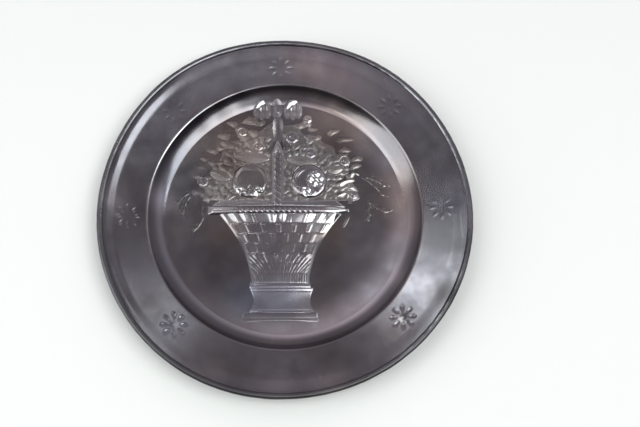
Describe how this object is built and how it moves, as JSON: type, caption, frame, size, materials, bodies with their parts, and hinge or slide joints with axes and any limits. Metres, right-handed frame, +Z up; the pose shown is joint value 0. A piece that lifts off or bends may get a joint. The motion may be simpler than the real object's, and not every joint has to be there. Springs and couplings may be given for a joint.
{
  "type": "pewter plate",
  "caption": "Round pewter wall plate with a broad rim, punched rosettes, a beaded edge and a flower basket in low relief, with a swinging loop on the back.",
  "frame": {"origin": "middle of the flat underside, where the plate stands on a table", "axes": "+Z up out of the well, +Y from the basket's foot to its blossoms and on to the hanging loop"},
  "size_m": [0.23, 0.23, 0.0164],
  "materials": {
    "pewter": "dark patinated pewter, satin, with fine scratches",
    "worn_pewter": "pewter rubbed brighter on its high places, satin",
    "brown_pewter": "pewter with a brown patina in its hollows, satin",
    "hanger_wire": "dull tinned steel wire"
  },
  "bodies": {
    "plate": {"plate": "pewter", "edge_wire": "worn_pewter", "basket_wall": "worn_pewter", "basket_lip": "worn_pewter", "basket_inner_rim": "pewter", "basket_band": "worn_pewter", "basket_foot": "worn_pewter", "basket_plinth": "pewter", "basket_handle": "pewter", "fruit_left": "pewter", "fruit_right": "worn_pewter", "top_blossoms": "worn_pewter", "flower_heads": "pewter", "broad_leaves": "brown_pewter", "leaf_bank_left": "brown_pewter", "leaf_bank_right": "brown_pewter", "tendrils": "pewter", "hanger_strap": "pewter"},
    "loop": {"hanging_loop": "hanger_wire"}
  },
  "joints": [
    {"name": "loop_swing", "type": "hinge", "parent": "plate", "child": "loop", "pos_m": [0, 0.1, 0.00883], "axis": [1, 0, 0], "range_deg": [-70, 90]}
  ]
}
